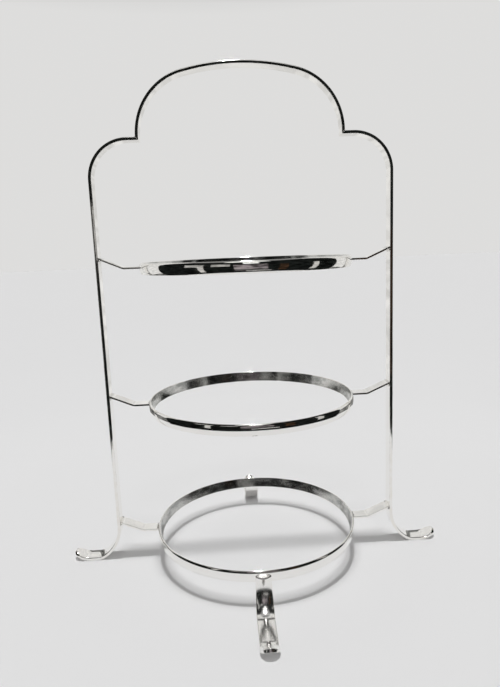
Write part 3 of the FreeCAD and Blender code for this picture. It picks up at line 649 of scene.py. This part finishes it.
class Nodes:
    """Short calls for building a material's node tree."""

    def __init__(self, name):
        self.material = bpy.data.materials.new(name)
        self.material.use_nodes = True
        self.tree = self.material.node_tree
        self.shader = self.tree.nodes["Principled BSDF"]

    def node(self, kind, inputs=None, **settings):
        made = self.tree.nodes.new(kind)
        for key, value in settings.items():
            setattr(made, key, value)
        for key, value in (inputs or {}).items():
            if isinstance(value, bpy.types.NodeSocket):
                self.tree.links.new(value, made.inputs[key])
            else:
                made.inputs[key].default_value = value
        return made

    def noise(self, vector, scale, detail=2.0, roughness=0.5):
        return self.node("ShaderNodeTexNoise", {"Vector": vector, "Scale": scale, "Detail": detail,
                                                "Roughness": roughness}).outputs["Fac"]

    def stretch(self, vector, scale):
        return self.node("ShaderNodeMapping", {"Vector": vector, "Scale": scale}).outputs["Vector"]

    def ramp(self, value, low, high, start=0.0, end=1.0):
        """Map a value's range from low..high to start..end, clamped."""
        return self.node("ShaderNodeMapRange", {"Value": value, "From Min": low, "From Max": high,
                                                "To Min": start, "To Max": end}).outputs["Result"]

    def math(self, operation, first, second):
        return self.node("ShaderNodeMath", {0: first, 1: second}, operation=operation).outputs["Value"]

    def mix(self, share, first, second):
        return self.node("ShaderNodeMix", {"Factor": share, 6: first, 7: second},
                         data_type="RGBA").outputs[2]

    def bump(self, height, strength, distance, normal=None):
        inputs = {"Height": height, "Strength": strength, "Distance": distance}
        if normal is not None:
            inputs["Normal"] = normal
        return self.node("ShaderNodeBump", inputs).outputs["Normal"]

    def attribute(self, name, output):
        return self.node("ShaderNodeAttribute", attribute_name=name).outputs[output]


SILVER = (0.955, 0.945, 0.925, 1)
TARNISH = (0.74, 0.66, 0.52, 1)
WORN_PLATE = (0.86, 0.82, 0.74, 1)
# painted shade: the dark grey that the rings' inner faces are tinted towards, standing in for the dark
# reflections there
INSIDE_SHADE_GREY = (0.27, 0.28, 0.27, 1)
SOLDER_GREY = (0.80, 0.79, 0.77, 1)


def polished_plate(name, brushing, smudge_shift, haze=0.0):
    """Hand-polished silver plate: a slightly wavy mirror with rub marks, scratches and faint tarnish.

    brushing is the scale of the fine marks along and across the piece; smudge_shift moves the smudges;
    haze is added to the roughness. The inside of the rings is scuffed and rougher, and its colour is
    darkened in streaks as painted shade.
    """
    n = Nodes(name)
    place = n.node("ShaderNodeTexCoord").outputs["Object"]
    grain = n.attribute("grain", "Vector")
    worn = n.attribute("worn", "Fac")
    moved = n.node("ShaderNodeMapping", {"Vector": place, "Location": smudge_shift}).outputs["Vector"]

    smudges = n.noise(moved, 38, 4, 0.6)
    fingers = n.ramp(n.noise(moved, 95, 3, 0.55), 0.55, 0.72)
    marks = n.noise(n.stretch(grain, brushing), 1, 3, 0.65)
    scratches = n.ramp(marks, 0.66, 0.74)

    tarnish = n.math("MULTIPLY", n.ramp(n.noise(moved, 21, 5, 0.62), 0.5, 0.78), 0.16)
    colour = n.mix(tarnish, SILVER, TARNISH)
    wear = n.math("MULTIPLY", n.ramp(n.noise(moved, 140, 3, 0.6), 0.42, 0.62), worn)
    colour = n.mix(n.math("MULTIPLY", wear, 0.35), colour, WORN_PLATE)
    # Painted shade: the rings' inner faces are tinted towards a dark grey in streaks, standing in for the
    # dark reflections there; the same streaks also add real roughness as scuffs.
    inside = n.attribute("inside", "Fac")
    scuffs_and_shade_streaks = n.ramp(n.noise(n.stretch(moved, (1, 1, 2.5)), 60, 4, 0.65), 0.38, 0.62)
    inside_shade = n.ramp(scuffs_and_shade_streaks, 0.0, 1.0, 0.9, 0.35)
    colour = n.mix(n.math("MULTIPLY", inside_shade, inside), colour, INSIDE_SHADE_GREY)
    n.tree.links.new(colour, n.shader.inputs["Base Color"])
    n.shader.inputs["Metallic"].default_value = 1.0

    rough = n.ramp(smudges, 0.35, 0.7, 0.035 + haze, 0.085 + haze)
    rough = n.math("ADD", rough, n.math("MULTIPLY", fingers, 0.03))
    rough = n.math("ADD", rough, n.math("MULTIPLY", scratches, 0.09))
    rough = n.math("ADD", rough, n.math("MULTIPLY", wear, 0.06))
    rough = n.math("ADD", rough, n.math("MULTIPLY", n.ramp(scuffs_and_shade_streaks, 0.0, 1.0, 0.06, 0.16), inside))
    n.tree.links.new(rough, n.shader.inputs["Roughness"])

    waves = n.bump(n.noise(moved, 46, 1, 0.4), 1.0, 0.00022)
    dents = n.bump(n.noise(moved, 190, 2, 0.5), 0.6, 0.00005, waves)
    fine = n.bump(marks, 0.5, 0.000004, dents)
    n.tree.links.new(fine, n.shader.inputs["Normal"])
    return n.material


def solder_metal(name):
    """Soft solder under the plate: dull, grey and a little pitted, with brown flux stain in places."""
    n = Nodes(name)
    place = n.node("ShaderNodeTexCoord").outputs["Object"]
    stain = n.math("MULTIPLY", n.ramp(n.noise(place, 260, 4, 0.6), 0.48, 0.7), 0.45)
    n.tree.links.new(n.mix(stain, SOLDER_GREY, TARNISH), n.shader.inputs["Base Color"])
    n.shader.inputs["Metallic"].default_value = 1.0
    n.tree.links.new(n.ramp(n.noise(place, 700, 3, 0.6), 0.3, 0.7, 0.16, 0.36), n.shader.inputs["Roughness"])
    pits = n.bump(n.noise(place, 1500, 3, 0.6), 0.6, 0.00012)
    n.tree.links.new(pits, n.shader.inputs["Normal"])
    return n.material


# ---------------------------------------------------------------- the object

plate = {
    "silver_frame": polished_plate("frame_silver_plate", (60, 2600, 2600), (0.0, 0.0, 0.0)),
    "silver_ring": polished_plate("ring_silver_plate", (70, 70, 3200), (0.31, 0.12, 0.07)),
    "silver_arm": polished_plate("arm_silver_plate", (90, 2400, 2400), (0.17, 0.43, 0.29)),
    "silver_leg": polished_plate("leg_silver_plate", (80, 2400, 2400), (0.61, 0.23, 0.11), haze=0.11),
    "solder": solder_metal("soft_solder"),
}


def add_piece(piece, node, slot):
    """Hand a finished mesh over: its material, the body it rides on and the CAD node it stands for."""
    piece.data.materials.append(plate[slot])
    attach(piece, "root")
    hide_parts(node)


add_piece(make_arch("handle_arch_plated"), "handle_arch", "silver_frame")
for side_name, sign in SIDES:
    add_piece(make_upright(f"{side_name}_upright_plated", sign), f"{side_name}_upright", "silver_frame")
for tier_name in TIERS:
    node_name = f"{tier_name}_plate_ring"
    add_piece(make_ring(f"{node_name}_plated", tier_name), node_name, "silver_ring")
    for side_name, sign in SIDES:
        node_name = f"{tier_name}_{side_name}_arm"
        add_piece(make_arm(f"{node_name}_plated", tier_name, sign), node_name, "silver_arm")
for leg_name, sign in (("front_leg", -1), ("rear_leg", 1)):
    add_piece(make_leg(f"{leg_name}_plated", sign), leg_name, "silver_leg")
for solder_name, maker in (("upright_solder_fillets", make_upright_solder),
                           ("ring_solder_fillets", make_ring_solder),
                           ("handle_solder_joints", make_cusp_solder),
                           ("leg_solder_fillets", make_leg_solder)):
    add_piece(maker(f"{solder_name}_filed"), solder_name, "solder")


# ---------------------------------------------------------------- stage

ROOM_DISTANCE = 0.39           # from the stand's centre to the dark room's card
ROOM_FLOOR = 0.0005            # cards start just above the floor
ROOM_TOP = 0.66
SIDE_TOP = 0.8                 # the dark room is taller on the left and right
NEAR_DISTANCE = ROOM_DISTANCE - 0.004  # things that stand in front of the dark room
LAMP_DISTANCE = 0.30
WALL_DISTANCE = 0.6
CARD_STEP = math.radians(4)    # turn between two columns of a card

ROOM_BLACK = (0.012, 0.014, 0.013, 1)
SIDE_GREY = (0.30, 0.30, 0.29, 1)
PALE_GREY = (0.60, 0.59, 0.57, 1)
FIGURE_DARK = (0.10, 0.095, 0.095, 1)
FIGURE_GREY = (0.34, 0.30, 0.31, 1)
CUPBOARD_BROWN = (0.06, 0.034, 0.02, 1)
WALL_WHITE = (0.83, 0.825, 0.81, 1)
LAMP_WHITE = (1.1, 1.1, 1.08, 1)

FLOOR_COLOUR = (0.80, 0.80, 0.805, 1)
FLOOR_HALF = 12.0
AIR_COLOUR = (0.99, 0.985, 0.975, 1)
WALL_LIGHT = 0.735             # strength of the light from the walls
WALL_END = 0.36                # sine of the elevation where it starts to fade
CEILING_LIGHT = 0.2            # strength of the light from overhead
CEILING_START = 0.6            # sine of the elevation where the fade ends

CAMERA_PLACE = (-0.0216, -0.5077, 0.2902)
CAMERA_YAW = math.radians(-2.54)
CAMERA_PITCH = math.radians(-9.65)
CAMERA_ROLL = math.radians(2.31)
CAMERA_SENSOR = 36.0
CAMERA_LENS = 29.06


def plain_material(name, colour, roughness):
    n = Nodes(name)
    n.shader.inputs["Base Color"].default_value = colour
    n.shader.inputs["Roughness"].default_value = roughness
    return n.material


def stage_mesh(name, corners, faces, material):
    data = bpy.data.meshes.new(name)
    data.from_pydata(corners, [], faces)
    data.materials.append(material)
    thing = bpy.data.objects.new(name, data)
    bpy.context.scene.collection.objects.link(thing)
    return thing


def make_floor():
    half = FLOOR_HALF
    corners = [(-half, -half, 0), (half, -half, 0), (half, half, 0), (-half, half, 0)]
    return stage_mesh("floor", corners, [(0, 1, 2, 3)], plain_material("floor_cloth", FLOOR_COLOUR, 0.9))


def glow(name, colour, patchiness):
    """An uneven card that looks the same from everywhere: its colour, with darker patches."""
    n = Nodes(name)
    place = n.stretch(n.node("ShaderNodeTexCoord").outputs["Object"], (1, 1, 1.8))
    patches = n.ramp(n.noise(place, 17, 4, 0.6), 0.42, 0.60, 1.0 - patchiness, 1.0)
    n.shader.inputs["Base Color"].default_value = (0, 0, 0, 1)
    n.shader.inputs["Specular IOR Level"].default_value = 0.0
    n.shader.inputs["Emission Color"].default_value = colour
    n.tree.links.new(patches, n.shader.inputs["Emission Strength"])
    return n.material


def make_card(name, distance, turns, heights, colour, patchiness=0.0):
    """A curved upright card round part of the stand, seen only in reflections.

    turns are the directions of its two ends from the stand's centre, in degrees to the right of its front.
    """
    first, last = (math.radians(turn) for turn in turns)
    low, high = heights
    steps = max(2, math.ceil((last - first) / CARD_STEP))
    corners, faces = [], []
    for k in range(steps + 1):
        turn = first + (last - first) * k / steps
        x, y = distance * math.sin(turn), -distance * math.cos(turn)
        corners += [(x, y, low), (x, y, high)]
    for k in range(steps):
        faces.append((2 * k, 2 * k + 1, 2 * k + 3, 2 * k + 2))
    card = stage_mesh(name, corners, faces, glow(name, colour, patchiness))
    card.visible_camera = False
    card.visible_diffuse = False
    card.visible_shadow = False
    card.visible_transmission = False


def make_cards():
    """The dark room in front of the table, the few lighter things in it, and the pale wall behind."""
    make_card("dark_room", ROOM_DISTANCE, (-94, 94), (ROOM_FLOOR, ROOM_TOP), ROOM_BLACK, 0.8)
    make_card("dark_room_left", ROOM_DISTANCE, (-94, -27), (ROOM_TOP, SIDE_TOP), ROOM_BLACK, 0.8)
    make_card("dark_room_right", ROOM_DISTANCE, (27, 94), (ROOM_TOP, SIDE_TOP), ROOM_BLACK, 0.8)
    make_card("dim_left_side", ROOM_DISTANCE, (-150, -94), (0.03, 0.14), SIDE_GREY, 0.8)
    make_card("dim_right_side", ROOM_DISTANCE, (94, 150), (0.03, 0.14), SIDE_GREY, 0.8)
    make_card("doorway", NEAR_DISTANCE, (-47, -41), (0.09, 0.285), PALE_GREY, 0.3)
    make_card("shelf_left", NEAR_DISTANCE, (-60, -41), (0.285, 0.36), PALE_GREY, 0.6)
    make_card("shelf_right", NEAR_DISTANCE, (-33, -16), (0.285, 0.36), PALE_GREY, 0.6)
    make_card("pale_step", NEAR_DISTANCE, (-3, 22), (0.075, 0.10), PALE_GREY, 0.4)
    make_card("figure_low", NEAR_DISTANCE, (-13, 17), (0.10, 0.17), FIGURE_DARK, 0.9)
    make_card("figure_high", NEAR_DISTANCE, (-13, 17), (0.17, 0.33), FIGURE_GREY, 0.85)
    make_card("brown_cupboard", NEAR_DISTANCE, (28, 37), (0.09, 0.31), CUPBOARD_BROWN, 0.8)
    make_card("window", NEAR_DISTANCE, (62, 69), (0.09, 0.31), PALE_GREY, 0.2)
    make_card("lamp_card", LAMP_DISTANCE, (-5, 9), (0.34, 0.45), LAMP_WHITE)
    make_card("ceiling_card", ROOM_DISTANCE, (-27, 27), (ROOM_TOP, 1.3), LAMP_WHITE)
    make_card("pale_wall", WALL_DISTANCE, (96, 264), (ROOM_FLOOR, 1.2), WALL_WHITE, 0.25)


def make_world():
    """A pale room whose ceiling is dimmer than its walls."""
    world = bpy.data.worlds.new("studio")
    world.use_nodes = True
    tree = world.node_tree
    place = tree.nodes.new("ShaderNodeTexCoord")
    split = tree.nodes.new("ShaderNodeSeparateXYZ")
    height = tree.nodes.new("ShaderNodeMapRange")
    strength = tree.nodes["Background"].inputs["Strength"]
    tree.links.new(place.outputs["Generated"], split.inputs[0])
    tree.links.new(split.outputs["Z"], height.inputs["Value"])
    levels = {"From Min": WALL_END, "From Max": CEILING_START, "To Min": WALL_LIGHT, "To Max": CEILING_LIGHT}
    for name, value in levels.items():
        height.inputs[name].default_value = value
    tree.links.new(height.outputs["Result"], strength)
    tree.nodes["Background"].inputs["Color"].default_value = AIR_COLOUR
    bpy.context.scene.world = world


def make_sun(name, towards, angle, strength):
    """A soft distant light that shines from the given direction; angle is how wide it looks, in degrees."""
    data = bpy.data.lights.new(name, "SUN")
    data.angle = math.radians(angle)
    data.energy = strength
    light = bpy.data.objects.new(name, data)
    light.location = towards
    light.rotation_mode = "QUATERNION"
    light.rotation_quaternion = (-Vector(towards)).to_track_quat("-Z", "Y")
    bpy.context.scene.collection.objects.link(light)


def make_camera():
    """Close in front of the stand, at about the top ring's height and looking slightly down."""
    data = bpy.data.cameras.new("camera")
    data.sensor_width = CAMERA_SENSOR
    data.lens = CAMERA_LENS
    camera = bpy.data.objects.new("camera", data)
    turn = (Matrix.Rotation(CAMERA_YAW, 3, "Z") @ Matrix.Rotation(CAMERA_PITCH, 3, "X")
            @ Matrix.Rotation(CAMERA_ROLL, 3, "Y") @ Matrix.Rotation(math.pi / 2, 3, "X"))
    camera.matrix_world = Matrix.Translation(CAMERA_PLACE) @ turn.to_4x4()
    bpy.context.scene.collection.objects.link(camera)
    bpy.context.scene.camera = camera


make_floor()
make_cards()
make_world()
make_sun("ceiling_light", (0.0, -0.012, 1.0), 4.0, 1.72)
make_sun("front_light", (0.02, -1.0, 2.2), 6.0, 0.16)
make_camera()
bpy.context.scene.view_settings.view_transform = "Standard"
